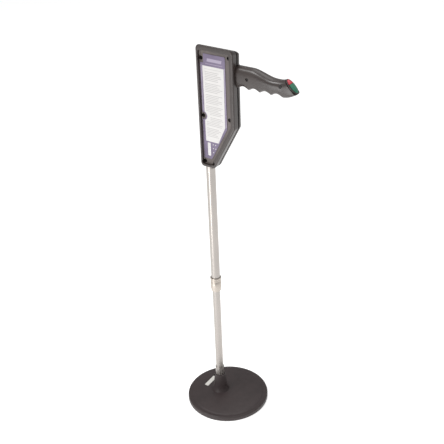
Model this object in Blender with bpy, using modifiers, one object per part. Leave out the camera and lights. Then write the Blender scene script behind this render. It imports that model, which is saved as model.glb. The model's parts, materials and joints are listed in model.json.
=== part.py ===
"""Walk-along tag reader: a round antenna foot, a telescopic pole and a head case with a pistol grip.

Metres, +Z up.  The origin is on the floor, on the axis of the pole.  +X runs from the pole
towards the grip, and the labelled face of the head case looks along -Y.
"""

import math

import bmesh
import bpy
from mathutils import Matrix, Vector

# Clearance between neighbouring pieces.
GAP = 0.0003
ROUND = 32

# Antenna foot: a shallow round cover over a flat base, set to the grip side of the pole.
FOOT_X = 0.0193
FOOT_RADIUS = 0.0857
FOOT_TOP = 0.011
FOOT_WALL = 0.0026
STEP_RADIUS = 0.075
BASE_THICKNESS = 0.0032
BASE_RADIUS = FOOT_RADIUS - FOOT_WALL - GAP
COIL_RADIUS = 0.0705
FOOT_SCREW_RADIUS = 0.060
FOOT_SCREWS = 4

# Boss that carries the pole.
BOSS_TOP = 0.052
BOSS_TOP_RADIUS = 0.0112
BOSS_FOOT_RADIUS = 0.0215
BORE_FLOOR = 0.015
FERRULE_RADIUS = 0.0091
FERRULE_TOP = 0.072

# Pole: the lower tube slides inside the upper tube.
LOWER_RADIUS = 0.0078
LOWER_BORE = 0.0069
LOWER_TOP = 0.382
UPPER_RADIUS = 0.0090
UPPER_BORE = 0.0081
UPPER_BOTTOM = 0.288
UPPER_TOP = 0.545
LOCK_BOTTOM = 0.266
LOCK_TOP = 0.2985
LOCK_RADIUS = 0.01075
LOCK_LIP_RADIUS = 0.01125

# Head case: corners of its outline in X and Z with their rounding, and its depths in Y.
CASE_LEFT = -0.014
CASE_RIGHT = 0.066
CASE_BOTTOM = 0.549
CASE_TOP = 0.786
CASE_CORNERS = (
    (CASE_LEFT, CASE_BOTTOM, 0.008),
    (0.017, CASE_BOTTOM, 0.007),
    (CASE_RIGHT, 0.638, 0.010),
    (CASE_RIGHT, CASE_TOP, 0.009),
    (CASE_LEFT, CASE_TOP, 0.009),
)
CASE_FRONT = -0.012
CASE_WALL = 0.0024
RIM_ROUND = 0.0018
# The sunk tray's outline: the left rim is the narrowest, the lower right one follows the slant.
TRAY_CORNERS = (
    (CASE_LEFT + 0.0046, CASE_BOTTOM + 0.0055, 0.004),
    (0.0101, CASE_BOTTOM + 0.0055, 0.004),
    (CASE_RIGHT - 0.0085, 0.6405, 0.006),
    (CASE_RIGHT - 0.0085, CASE_TOP - 0.0100, 0.004),
    (CASE_LEFT + 0.0046, CASE_TOP - 0.0100, 0.004),
)
TRAY_FLOOR = CASE_FRONT + 0.006
TRAY_BACK = TRAY_FLOOR + 0.0016
GROOVE_FRONT = 0.0
GROOVE_BACK = 0.004
BAND_BACK = 0.010
CASE_BACK = 0.022
BACK_INSET = 0.012
TIGHTEST_CORNER = 0.003
TOP_DROP = 0.009
TOP_DROP_START = CASE_TOP - 0.018

# Case screws, in X and Z; the two lowest also hold the pole's spigot.
CASE_SCREWS = (
    (-0.0062, 0.7600),
    (0.0538, 0.7680),
    (-0.0062, 0.6505),
    (0.0520, 0.6525),
    (-0.0068, 0.5590),
    (0.0148, 0.5595),
)
SCREW_HEAD = 0.0033
SCREW_SHANK = 0.0015
SCREW_RECESS = 0.0038
RECESS_FLOOR = -0.0018

# Battery bay in the raised back.
DOOR_LEFT = 0.0064
DOOR_RIGHT = 0.0406
DOOR_BOTTOM = 0.6324
DOOR_TOP = 0.7486
DOOR_FRONT = 0.020
DOOR_PIVOT = (0.0208, 0.6336)
DOOR_PIN_RADIUS = 0.00055
CELL_RADIUS = 0.007
CELL_LENGTH = 0.050
CELL_X = (0.0162, 0.0310)
CELL_Y = 0.012
CELL_BOTTOM = 0.640
SOUNDER_Z = 0.7605

# Grip: a finger-grooved loft along X, closed by a sloping end with two buttons.
GRIP_Y = 0.005
GRIP_ROOT = CASE_RIGHT + GAP
GRIP_TIP = 0.1925
GRIP_AXIS_Z = 0.736
GRIP_DROOP = 0.062
GRIP_WALL = 0.0023
BACK_HIGH = 0.7553
BACK_FALL = 0.0108
FALL_START = 0.096
FALL_END = 0.144
CREST_LOW = 0.7144
FINGER_PITCH = 0.0231
FINGER_START = 0.0885
FINGER_DEPTH = 0.0047
TAIL_START = FINGER_START + 3 * FINGER_PITCH
TAIL_RISE = 0.0118
TAIL_LENGTH = 0.0295
TAIL_POWER = 1.8
TAIL_TAPER = 0.056
LIFT_START = 0.150
LIFT_LENGTH = 0.016
LIFT_HEIGHT = 0.0035
LIFT_LIMIT = 1.4
ROOT_HALF_WIDTH = 0.0104
SWELL = 0.0014
SWELL_LENGTH = 0.095
SECTION_POWER = 0.82
GRIP_SCREW_HEAD = 0.0027
GRIP_SCREW_SINK = 0.0031
GRIP_SCREW_SHANK = 0.0012
GRIP_SCREW_SEAT = GRIP_Y - 0.0085
END_CENTRE = (0.1770, GRIP_Y, 0.7374)
END_TILT = math.radians(45.0)
BEZEL_LENGTH = 0.0158
BEZEL_WIDTH = 0.0086
BUTTON_LENGTH = 0.0142
BUTTON_WIDTH = 0.0064
BUTTON_DOME = 0.0028
BUTTON_SPLIT = -0.0046
SPIGOT_Z = (0.7258, 0.747)
SPIGOT_Y = (0.0044, 0.0114)
CHANNEL_Y = (0.0060, 0.0098)
CHANNEL_FLOOR = 0.7415
GRIP_SCREWS = ((0.0912, 0.7366), (0.1583, 0.7361))


def clear_scene():
    for thing in list(bpy.data.objects):
        bpy.data.objects.remove(thing, do_unlink=True)


def new_collection(name):
    group = bpy.data.collections.new(name)
    bpy.context.scene.collection.children.link(group)
    return group


clear_scene()
PARTS = new_collection("tag_reader")
CUTTERS = new_collection("cutters")


def finish(name, colour, roughness, metallic=0.0):
    """Return a plain Principled material."""
    material = bpy.data.materials.new(name)
    material.use_nodes = True
    shader = material.node_tree.nodes["Principled BSDF"]
    shader.inputs["Base Color"].default_value = (*colour, 1.0)
    shader.inputs["Roughness"].default_value = roughness
    shader.inputs["Metallic"].default_value = metallic
    return material


MATERIALS = {
    "case_plastic": finish("case_plastic", (0.055, 0.045, 0.042), 0.45),
    "foot_plastic": finish("foot_plastic", (0.045, 0.038, 0.037), 0.55),
    "aluminium": finish("aluminium", (0.72, 0.71, 0.69), 0.32, 1.0),
    "collar_metal": finish("collar_metal", (0.62, 0.59, 0.54), 0.38, 1.0),
    "steel": finish("steel", (0.35, 0.34, 0.33), 0.35, 1.0),
    "rubber": finish("rubber", (0.02, 0.02, 0.02), 0.8),
    "label": finish("label", (0.18, 0.13, 0.33), 0.35),
    "sticker": finish("sticker", (0.75, 0.74, 0.70), 0.5),
    "red_plastic": finish("red_plastic", (0.62, 0.05, 0.07), 0.35),
    "green_plastic": finish("green_plastic", (0.04, 0.24, 0.16), 0.35),
    "nylon": finish("nylon", (0.75, 0.74, 0.68), 0.5),
    "copper": finish("copper", (0.60, 0.28, 0.14), 0.35, 1.0),
    "board": finish("board", (0.02, 0.16, 0.06), 0.5),
    "chip": finish("chip", (0.02, 0.02, 0.02), 0.5),
    "cell": finish("cell", (0.10, 0.10, 0.12), 0.4),
    "cable": finish("cable", (0.03, 0.03, 0.03), 0.5),
}


def add_solid(name, mesh, slot=None, frame=None):
    """Link a mesh as a part, or as a hidden cutter when it has no material slot."""
    solid = bpy.data.objects.new(name, mesh)
    if slot is None:
        CUTTERS.objects.link(solid)
        solid.hide_render = True
        solid.display_type = "WIRE"
    else:
        PARTS.objects.link(solid)
        mesh.materials.append(MATERIALS[slot])
    if frame is not None:
        solid.parent = frame
    return solid


def add_frame(name, place, tilt=0.0):
    """Return an empty on a joint's axis, turned about Y."""
    frame = bpy.data.objects.new(name, None)
    frame.location = place
    frame.rotation_euler = (0.0, tilt, 0.0)
    PARTS.objects.link(frame)
    return frame


def to_mesh(name, bm):
    bmesh.ops.recalc_face_normals(bm, faces=bm.faces)
    mesh = bpy.data.meshes.new(name)
    bm.to_mesh(mesh)
    bm.free()
    return mesh


def box(name, low, high, slot=None, frame=None):
    """Return a block between two opposite corners."""
    low = Vector(low)
    high = Vector(high)
    bm = bmesh.new()
    bmesh.ops.create_cube(bm, size=1.0)
    bmesh.ops.scale(bm, verts=bm.verts, vec=high - low)
    bmesh.ops.translate(bm, verts=bm.verts, vec=(low + high) / 2)
    return add_solid(name, to_mesh(name, bm), slot, frame)


def rod(name, radius, start, end, slot=None, frame=None, sides=24):
    """Return a cylinder between two points."""
    start = Vector(start)
    end = Vector(end)
    along = end - start
    bm = bmesh.new()
    bmesh.ops.create_cone(
        bm,
        cap_ends=True,
        segments=sides,
        radius1=radius,
        radius2=radius,
        depth=along.length,
    )
    turn = along.to_track_quat("Z", "Y").to_matrix().to_4x4()
    bmesh.ops.transform(bm, verts=bm.verts, matrix=Matrix.Translation((start + end) / 2) @ turn)
    return add_solid(name, to_mesh(name, bm), slot, frame)


def turned(name, profile, slot=None, place=(0.0, 0.0, 0.0), sides=ROUND):
    """Turn a profile of radius and height about a vertical axis."""
    mesh = bpy.data.meshes.new(name)
    edges = [(index, index + 1) for index in range(len(profile) - 1)]
    if profile[0][0] > 0.0:
        edges.append((len(profile) - 1, 0))
    mesh.from_pydata([(radius, 0.0, height) for radius, height in profile], edges, [])
    solid = add_solid(name, mesh, slot)
    solid.location = place
    screw = solid.modifiers.new("turn", "SCREW")
    screw.steps = sides
    screw.render_steps = sides
    screw.use_merge_vertices = True
    screw.merge_threshold = 0.00001
    return solid


def sleeve(name, outer, inner, low, high, slot=None, place=(0.0, 0.0, 0.0), sides=ROUND):
    """Return a plain tube standing on its end."""
    profile = ((outer, high), (outer, low), (inner, low), (inner, high))
    return turned(name, profile, slot, place, sides)


def arc(centre, radius, first, last, steps):
    """Return points on an arc, with its angles in degrees."""
    points = []
    for step in range(steps + 1):
        angle = math.radians(first + (last - first) * step / steps)
        points.append((centre[0] + radius * math.cos(angle), centre[1] + radius * math.sin(angle)))
    return points


def inward(start, end):
    """Return the unit normal that points into an outline drawn anticlockwise."""
    along = (end - start).normalized()
    return Vector((-along.y, along.x))


def outline(corners, inset=0.0):
    """Return a convex outline with rounded corners, moved in by an inset."""
    points = []
    for index, (x, z, radius) in enumerate(corners):
        here = Vector((x, z))
        before = Vector(corners[index - 1][:2])
        after = Vector(corners[(index + 1) % len(corners)][:2])
        first = inward(before, here)
        second = inward(here, after)
        bend = 1.0 + first.dot(second)
        corner = max(radius - inset, TIGHTEST_CORNER)
        centre = here + (first + second) * ((inset + corner) / bend)
        turn = first.angle(second)
        steps = max(2, round(math.degrees(turn) / 18.0))
        start = math.degrees(math.atan2(-first.y, -first.x))
        points.extend(arc(centre, corner, start, start + math.degrees(turn), steps))
    return points


def slope_top(mesh):
    """Lower the top of a case solid towards the back."""
    for vertex in mesh.vertices:
        share = (vertex.co.z - TOP_DROP_START) / (CASE_TOP - TOP_DROP_START)
        depth = (vertex.co.y - CASE_FRONT - RIM_ROUND) / (BAND_BACK - CASE_FRONT)
        vertex.co.z -= TOP_DROP * min(max(share, 0.0), 1.0) * max(depth, 0.0)


def prism(name, points, front, back, slot=None, rounding=0.0, round_at=None, sloped=False):
    """Extrude an outline in X and Z through Y, and round the rims of the faces at round_at."""
    curve = bpy.data.curves.new(name, "CURVE")
    curve.dimensions = "2D"
    curve.fill_mode = "BOTH"
    curve.extrude = (back - front) / 2
    spline = curve.splines.new("POLY")
    spline.points.add(len(points) - 1)
    for target, point in zip(spline.points, points):
        target.co = (point[0], point[1], 0.0, 1.0)
    spline.use_cyclic_u = True
    draft = bpy.data.objects.new(name + "_outline", curve)
    bpy.context.scene.collection.objects.link(draft)
    mesh = bpy.data.meshes.new_from_object(draft.evaluated_get(bpy.context.evaluated_depsgraph_get()))
    bpy.data.objects.remove(draft)
    mesh.name = name
    mesh.transform(Matrix.Translation((0.0, (front + back) / 2, 0.0)) @ Matrix.Rotation(math.pi / 2, 4, "X"))
    bm = bmesh.new()
    bm.from_mesh(mesh)
    bmesh.ops.remove_doubles(bm, verts=bm.verts, dist=0.00001)
    bmesh.ops.dissolve_limit(bm, angle_limit=0.01, verts=bm.verts, edges=bm.edges)
    if rounding > 0.0:
        rims = [
            edge
            for edge in bm.edges
            if all(min(abs(v.co.y - y) for y in round_at) < 0.00001 for v in edge.verts)
            and edge.calc_face_angle(0.0) > 1.0
            and abs(edge.verts[0].co.y - edge.verts[1].co.y) < 0.00001
        ]
        bmesh.ops.bevel(bm, geom=rims, offset=rounding, segments=2, profile=0.5, affect="EDGES")
    bmesh.ops.triangulate(bm, faces=bm.faces)
    bmesh.ops.recalc_face_normals(bm, faces=bm.faces)
    bm.to_mesh(mesh)
    bm.free()
    if sloped:
        slope_top(mesh)
    mesh.materials.clear()
    return add_solid(name, mesh, slot)


def loft(name, rings, slot=None):
    """Skin a row of closed rings and cap both ends."""
    bm = bmesh.new()
    rows = [[bm.verts.new(point) for point in ring] for ring in rings]
    count = len(rows[0])
    for near, far in zip(rows, rows[1:]):
        for index in range(count):
            after = (index + 1) % count
            bm.faces.new((near[index], near[after], far[after], far[index]))
    bm.faces.new(rows[0])
    bm.faces.new(rows[-1])
    return add_solid(name, to_mesh(name, bm), slot)


def wire(name, radius, points, slot):
    """Return a round lead with closed ends along a POLY spline."""
    curve = bpy.data.curves.new(name, "CURVE")
    curve.dimensions = "3D"
    curve.bevel_depth = radius
    curve.bevel_resolution = 2
    curve.use_fill_caps = True
    spline = curve.splines.new("POLY")
    spline.points.add(len(points) - 1)
    for target, point in zip(spline.points, points):
        target.co = (*point, 1.0)
    lead = bpy.data.objects.new(name, curve)
    curve.materials.append(MATERIALS[slot])
    PARTS.objects.link(lead)
    return lead


# Solids on which the exact solver leaves open or folded faces.
FRAGILE = ("antenna_cover", "front_shell", "rear_shell", "case_gasket", "grip_front_half", "grip_rear_half")


def boolean(solid, other, operation):
    step = solid.modifiers.new(operation.lower(), "BOOLEAN")
    step.operation = operation
    step.object = other
    if solid.name in FRAGILE:
        step.solver = "MANIFOLD"


def cut(solid, *others):
    for other in others:
        boolean(solid, other, "DIFFERENCE")


def join(solid, *others):
    for other in others:
        boolean(solid, other, "UNION")


def keep(solid, other):
    boolean(solid, other, "INTERSECT")


def soften(solid, width, segments=1):
    """Round the sharp edges of a solid."""
    bevel = solid.modifiers.new("soften", "BEVEL")
    bevel.width = width
    bevel.segments = segments
    bevel.limit_method = "ANGLE"
    bevel.angle_limit = math.radians(40.0)


# ---------------------------------------------------------------- antenna foot


def foot_screw_places():
    """Places of the base screws, on a circle about the foot's centre."""
    places = []
    for index in range(FOOT_SCREWS):
        angle = math.radians(360.0 / FOOT_SCREWS * (index + 0.5))
        places.append((FOOT_X + FOOT_SCREW_RADIUS * math.cos(angle), FOOT_SCREW_RADIUS * math.sin(angle)))
    return places


def antenna_cover():
    bead = FOOT_RADIUS - 0.003
    profile = [(0.0, FOOT_TOP), (STEP_RADIUS - 0.001, FOOT_TOP), (STEP_RADIUS + 0.001, FOOT_TOP - 0.0014)]
    profile += [(bead - 0.0028, FOOT_TOP - 0.0014)]
    profile += arc((bead, FOOT_TOP - 0.0038), 0.003, 110.0, 0.0, 5)
    profile += [(FOOT_RADIUS, 0.0012), (FOOT_RADIUS - 0.0010, 0.0)]
    profile += [(FOOT_RADIUS - FOOT_WALL, 0.0), (FOOT_RADIUS - FOOT_WALL, FOOT_TOP - 0.0044)]
    profile += [(STEP_RADIUS, FOOT_TOP - 0.0044), (STEP_RADIUS - 0.001, FOOT_TOP - FOOT_WALL)]
    profile += [(0.0, FOOT_TOP - FOOT_WALL)]
    cover = turned("antenna_cover", profile, "foot_plastic", (FOOT_X, 0.0, 0.0), 56)
    foot_height = FOOT_TOP - 0.001
    boss = turned(
        "boss_shape",
        [
            (0.0, BOSS_TOP),
            (BOSS_TOP_RADIUS - 0.001, BOSS_TOP),
            (BOSS_TOP_RADIUS, BOSS_TOP - 0.001),
            (BOSS_TOP_RADIUS + 0.0045, FOOT_TOP + 0.014),
            (BOSS_FOOT_RADIUS - 0.003, FOOT_TOP + 0.0035),
            (BOSS_FOOT_RADIUS, FOOT_TOP + 0.0006),
            (BOSS_FOOT_RADIUS, foot_height),
            (0.0, foot_height),
        ],
        sides=32,
    )
    join(cover, boss)
    for index, (x, y) in enumerate(foot_screw_places()):
        post_foot = BASE_THICKNESS + GAP
        post = rod(f"post_{index}", 0.0032, (x, y, post_foot), (x, y, FOOT_TOP - 0.0010), sides=16)
        join(cover, post)
        cut(cover, rod(f"pilot_{index}", 0.0015, (x, y, 0.002), (x, y, 0.0078), sides=12))
    cut(cover, rod("pole_bore", FERRULE_RADIUS + GAP, (0, 0, BORE_FLOOR), (0, 0, 0.06), sides=ROUND))
    cut(cover, rod("lead_bore", 0.0026, (0, 0, 0.004), (0, 0, 0.02), sides=16))
    cut(cover, ferrule_screw_rod("screw_bore", 0.0019, 0.020))
    return cover


def antenna_base():
    profile = [(0.0, BASE_THICKNESS), (BASE_RADIUS, BASE_THICKNESS), (BASE_RADIUS, 0.0), (0.0, 0.0)]
    base = turned("antenna_base", profile, "foot_plastic", (FOOT_X, 0.0, 0.0), 56)
    for index, (x, y) in enumerate(foot_screw_places()):
        cut(base, rod(f"head_sink_{index}", 0.0029, (x, y, -0.001), (x, y, 0.0020), sides=16))
        cut(base, rod(f"through_{index}", 0.0016, (x, y, 0.0010), (x, y, 0.0050), sides=12))
    return base


def base_screws():
    for index, (x, y) in enumerate(foot_screw_places()):
        head = rod(f"base_screw_{index + 1}", 0.0026, (x, y, 0.0003), (x, y, 0.0017), "steel", sides=16)
        shank = rod(f"foot_shank_{index}", 0.0012, (x, y, 0.0013), (x, y, 0.0070), sides=12)
        join(head, shank)


def antenna_coil():
    low = BASE_THICKNESS + GAP
    high = FOOT_TOP - 0.0044 - GAP
    outer = COIL_RADIUS + 0.003
    inner = COIL_RADIUS - 0.003
    return sleeve("antenna_coil", outer, inner, low, high, "copper", (FOOT_X, 0, 0), 40)


def coil_electronics():
    low = BASE_THICKNESS + GAP
    box("coil_board", (0.040, -0.011, low), (0.068, 0.011, low + 0.0014), "board")
    parts_low = low + 0.0014 + GAP
    box("tuning_capacitor", (0.047, -0.007, parts_low), (0.061, 0.006, parts_low + 0.0026), "chip")


def disc_sticker():
    """Small blank plate on the cover, beside the boss."""
    low = FOOT_TOP + GAP
    sticker = box("disc_sticker", (-0.0045, -0.0175, low), (0.0045, 0.0175, low + 0.0003), "sticker")
    sticker.location = (-0.034, 0.009, 0.0)
    sticker.rotation_euler = (0.0, 0.0, math.radians(-12.0))


def ferrule_screw_rod(name, radius, reach, slot=None, head=0.0):
    """Return a radial rod through the boss, below its top, on the side away from the grip."""
    angle = math.radians(218.0)
    outward = Vector((math.cos(angle), math.sin(angle), 0.0))
    height = Vector((0.0, 0.0, BOSS_TOP - 0.0055))
    start = FERRULE_RADIUS + GAP + head
    return rod(name, radius, height + outward * start, height + outward * (start + reach), slot, sides=16)


def pole_mount():
    sleeve("pole_ferrule", FERRULE_RADIUS, LOWER_RADIUS + GAP, BORE_FLOOR + 0.001, FERRULE_TOP, "aluminium")
    ferrule_screw_rod("ferrule_screw", 0.0016, 0.0042, "steel")


def lower_pole():
    sleeve("lower_tube", LOWER_RADIUS, LOWER_BORE, BORE_FLOOR + 0.001, LOWER_TOP, "aluminium")
    bush = [
        (UPPER_BORE - 0.00015, LOWER_TOP + 0.008),
        (UPPER_BORE - 0.00015, LOWER_TOP + GAP),
        (LOWER_BORE - GAP, LOWER_TOP + GAP),
        (LOWER_BORE - GAP, LOWER_TOP - 0.010),
        (0.0022, LOWER_TOP - 0.010),
        (0.0022, LOWER_TOP + 0.008),
    ]
    turned("guide_bush", bush, "nylon")
    wire(
        "antenna_lead",
        0.0015,
        [
            (0.038, 0.0, 0.0056),
            (0.020, 0.0, 0.0056),
            (0.006, 0.0, 0.0058),
            (0.0015, 0.0, 0.0068),
            (0.0, 0.0, 0.010),
            (0.0, 0.0, 0.120),
            (0.0, 0.0, LOWER_TOP + 0.007),
        ],
        "cable",
    )


# ---------------------------------------------------------------- telescopic lock


def pole_lock():
    inner = LOWER_RADIUS + GAP
    neck = UPPER_RADIUS + GAP
    skirt = neck + 0.0006
    body = [
        (LOCK_LIP_RADIUS - 0.0006, LOCK_TOP),
        (LOCK_LIP_RADIUS, LOCK_TOP - 0.0006),
        (LOCK_LIP_RADIUS, LOCK_TOP - 0.0045),
        (skirt, LOCK_TOP - 0.0045),
        (skirt, LOCK_BOTTOM + 0.010),
        (inner, LOCK_BOTTOM + 0.010),
        (inner, UPPER_BOTTOM - GAP),
        (neck, UPPER_BOTTOM - GAP),
        (neck, LOCK_TOP),
    ]
    turned("lock_body", body, "collar_metal")
    collar_inner = skirt + GAP
    collar_top = LOCK_TOP - 0.0045 - GAP
    collar = [
        (LOCK_RADIUS, collar_top),
        (LOCK_RADIUS, LOCK_BOTTOM + 0.007),
        (LOCK_RADIUS - 0.0016, LOCK_BOTTOM),
        (inner, LOCK_BOTTOM),
        (inner, LOCK_BOTTOM + 0.0028),
        (collar_inner, LOCK_BOTTOM + 0.0028),
        (collar_inner, collar_top),
    ]
    turned("lock_collar", collar, "collar_metal")
    wedge_profile = [
        (skirt - 0.0004, LOCK_BOTTOM + 0.0095),
        (skirt - 0.0001, LOCK_BOTTOM + 0.0032),
        (inner, LOCK_BOTTOM + 0.0032),
        (inner, LOCK_BOTTOM + 0.0095),
    ]
    wedge = turned("lock_wedge", wedge_profile, "nylon", sides=ROUND)
    cut(wedge, box("wedge_slot", (0.006, -0.0012, 0.26), (0.012, 0.0012, 0.28)))
    sleeve("upper_tube", UPPER_RADIUS, UPPER_BORE, UPPER_BOTTOM, UPPER_TOP, "aluminium")


def pole_spigot():
    """Stem in the tube, a neck through the case bottom, and a blade held by two case screws."""
    shoulder = UPPER_TOP + GAP
    stem = [
        (0.0, CASE_BOTTOM - GAP),
        (UPPER_RADIUS, CASE_BOTTOM - GAP),
        (UPPER_RADIUS, shoulder),
        (UPPER_BORE - GAP, shoulder),
        (UPPER_BORE - GAP, UPPER_TOP - 0.030),
        (0.0, UPPER_TOP - 0.030),
    ]
    spigot = turned("pole_spigot", stem, "aluminium")
    neck_low = (-0.0072, GROOVE_FRONT + GAP, CASE_BOTTOM - 0.002)
    neck = box("spigot_neck", neck_low, (0.0072, GROOVE_BACK - 0.0002, CASE_BOTTOM + 0.006))
    inside = outline(CASE_CORNERS, CASE_WALL + 0.0005)
    blade = prism("spigot_blade", inside, GROOVE_FRONT + GAP, GROOVE_BACK - 0.0002)
    keep(blade, box("blade_limit", (-0.03, -0.01, 0.54), (0.04, 0.01, CASE_BOTTOM + 0.015)))
    join(spigot, neck, blade)
    cut(spigot, rod("spigot_bore", 0.0024, (0, 0, 0.50), (0, 0, 0.58), sides=16))
    for index in (4, 5):
        x, z = CASE_SCREWS[index]
        cut(spigot, rod(f"blade_hole_{index}", SCREW_SHANK + GAP, (x, -0.01, z), (x, 0.01, z), sides=12))


def pole_leads():
    sleeve("coiled_lead", 0.0045, 0.0016, LOWER_TOP + 0.0085, UPPER_TOP - 0.0305, "cable", sides=20)
    wire(
        "head_lead",
        0.0015,
        [
            (0.0, 0.0, UPPER_TOP - 0.0305 + GAP + 0.0002),
            (0.0, 0.0, 0.540),
            (0.0, 0.0, 0.566),
            (0.001, 0.0, 0.575),
            (0.004, 0.0, 0.588),
            (0.005, 0.0, 0.5985),
        ],
        "cable",
    )


# ---------------------------------------------------------------- head case


def grip_opening(name):
    low = (CASE_RIGHT - 0.020, GROOVE_BACK - GAP, SPIGOT_Z[0] - GAP)
    high = (CASE_RIGHT + 0.010, SPIGOT_Y[1] + GAP, SPIGOT_Z[1] + GAP)
    return box(name, low, high)


def neck_opening(name):
    low = (-0.0075, GROOVE_FRONT - 0.001, 0.54)
    return box(name, low, (0.0075, GROOVE_BACK + 0.001, CASE_BOTTOM + 0.0062))


def front_shell():
    shell = prism(
        "front_shell",
        outline(CASE_CORNERS),
        CASE_FRONT,
        GROOVE_FRONT,
        "case_plastic",
        RIM_ROUND,
        (CASE_FRONT,),
        True,
    )
    tray = prism("tray_cut", outline(TRAY_CORNERS), CASE_FRONT - 0.004, TRAY_FLOOR, sloped=True)
    inside = outline(CASE_CORNERS, CASE_WALL)
    hollow = prism("front_hollow", inside, TRAY_BACK, GROOVE_FRONT + 0.002, sloped=True)
    cut(shell, tray, hollow)
    for index, (x, z) in enumerate(CASE_SCREWS):
        post_from = (x, TRAY_FLOOR + 0.0005, z)
        post = rod(f"front_post_{index}", 0.0050, post_from, (x, GROOVE_FRONT - GAP, z), sides=20)
        join(shell, post)
        sink = rod(f"sink_{index}", SCREW_RECESS, (x, CASE_FRONT - 0.001, z), (x, RECESS_FLOOR, z), sides=20)
        hole = rod(f"front_hole_{index}", SCREW_SHANK + GAP, (x, -0.005, z), (x, 0.005, z), sides=12)
        cut(shell, sink, hole)
    lead_from = (0.0, 0.0, CASE_BOTTOM - 0.002)
    cut(shell, rod("case_lead_hole", 0.0028, lead_from, (0.0, 0.0, CASE_BOTTOM + 0.006), sides=16))


def case_gasket():
    low = GROOVE_FRONT + GAP
    high = GROOVE_BACK - GAP
    gasket = prism("case_gasket", outline(CASE_CORNERS, 0.0014), low, high, "rubber", sloped=True)
    middle = prism("gasket_middle", outline(CASE_CORNERS, 0.0027), low - 0.001, high + 0.001, sloped=True)
    cut(gasket, middle, neck_opening("gasket_neck_opening"))


def rear_shell():
    shell = prism(
        "rear_shell",
        outline(CASE_CORNERS),
        GROOVE_BACK,
        BAND_BACK,
        "case_plastic",
        0.0012,
        (BAND_BACK,),
        True,
    )
    raised = prism(
        "raised_back",
        outline(CASE_CORNERS, BACK_INSET),
        BAND_BACK - 0.001,
        CASE_BACK,
        None,
        0.0015,
        (CASE_BACK,),
    )
    shoulder_low = (CASE_RIGHT - 0.016, BAND_BACK - 0.001, GRIP_AXIS_Z - 0.018)
    shoulder_high = (CASE_RIGHT - 0.0012, GRIP_Y + 0.0105, GRIP_AXIS_Z + 0.018)
    shoulder = box("grip_shoulder", shoulder_low, shoulder_high)
    soften(shoulder, 0.003, 2)
    join(shell, raised, shoulder)
    band_back = BAND_BACK - CASE_WALL
    inside = outline(CASE_CORNERS, CASE_WALL)
    hollow = prism("rear_hollow", inside, GROOVE_BACK - 0.002, band_back, sloped=True)
    back_wall = CASE_BACK - CASE_WALL
    bay = prism("back_hollow", outline(CASE_CORNERS, BACK_INSET + CASE_WALL), band_back - 0.001, back_wall)
    edge = 0.0005
    bay_low = (DOOR_LEFT - edge, back_wall - 0.002, DOOR_BOTTOM - edge)
    bay_high = (DOOR_RIGHT + edge, CASE_BACK + 0.002, DOOR_TOP + edge)
    cut(shell, hollow, bay, box("door_opening", bay_low, bay_high))
    pivot_y, pivot_z = DOOR_PIVOT
    pivot_from = (DOOR_LEFT - 0.0016, pivot_y, pivot_z)
    pivot_to = (DOOR_RIGHT + 0.0016, pivot_y, pivot_z)
    cut(shell, rod("pivot_bore", DOOR_PIN_RADIUS + GAP, pivot_from, pivot_to, sides=12))
    for index in range(5):
        x = 0.018 + 0.006 * index
        cut(shell, rod(f"sound_hole_{index}", 0.0011, (x, 0.015, SOUNDER_Z), (x, 0.030, SOUNDER_Z), sides=10))
    cut(shell, grip_opening("rear_grip_opening"))
    for index, (x, z) in enumerate(CASE_SCREWS):
        post_front = GROOVE_BACK + GAP if index > 3 else GROOVE_FRONT + GAP
        post = rod(f"rear_post_{index}", 0.0039, (x, post_front, z), (x, BAND_BACK - 0.001, z), sides=20)
        join(shell, post)
        hole = rod(f"rear_hole_{index}", SCREW_SHANK + GAP, (x, -0.002, z), (x, 0.0082, z), sides=12)
        cut(shell, hole)


def cross_slot(name, place, depth):
    """Return one bar of a screw's cross recess, facing -Y."""
    x, y, z = place
    return box(name, (x - 0.0020, y - 0.001, z - 0.0004), (x + 0.0020, y + depth, z + 0.0004))


def case_screws():
    for index, (x, z) in enumerate(CASE_SCREWS):
        head_back = RECESS_FLOOR - GAP
        head_front = head_back - 0.0018
        front = (x, head_front, z)
        head = rod(f"case_screw_{index + 1}", SCREW_HEAD, front, (x, head_back, z), "steel", sides=20)
        shank = rod(f"case_shank_{index}", SCREW_SHANK, (x, head_back - 0.0004, z), (x, 0.0075, z), sides=12)
        join(head, shank)
        cut(head, cross_slot(f"case_slot_{index}", (x, head_front, z), 0.0009))


def face_label():
    """Label plate in the tray, with round notches about the screws."""
    corners = (
        (-0.0080, 0.5655, 0.001),
        (0.0090, 0.5655, 0.001),
        (0.0462, 0.6330, 0.002),
        (0.0462, 0.7700, 0.002),
        (-0.0080, 0.7700, 0.002),
    )
    back = TRAY_FLOOR - GAP
    label = prism("face_label", outline(corners), back - 0.0004, back, "label")
    for index in (0, 2, 4, 5):
        x, z = CASE_SCREWS[index]
        cut(label, rod(f"label_notch_{index}", 0.0068, (x, -0.010, z), (x, 0.0, z), sides=24))


def head_electronics():
    board_front = TRAY_BACK + 0.0014
    board_back = board_front + 0.0016
    box("main_board", (0.0, board_front, 0.600), (0.0405, board_back, 0.745), "board")
    part_front = board_back + GAP
    box("processor_chip", (0.014, part_front, 0.634), (0.026, part_front + 0.0012, 0.646), "chip")
    box("radio_chip", (0.030, part_front, 0.662), (0.039, part_front + 0.0012, 0.668), "chip")
    box("pole_plug", (0.001, part_front, 0.6002), (0.009, part_front + 0.004, 0.6072), "nylon")
    box("grip_plug", (0.0335, part_front, 0.7330), (0.0395, part_front + 0.004, 0.7420), "nylon")
    back = CASE_BACK - CASE_WALL - GAP
    rod("sounder", 0.0095, (0.030, back - 0.003, SOUNDER_Z), (0.030, back, SOUNDER_Z), "chip")


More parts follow.
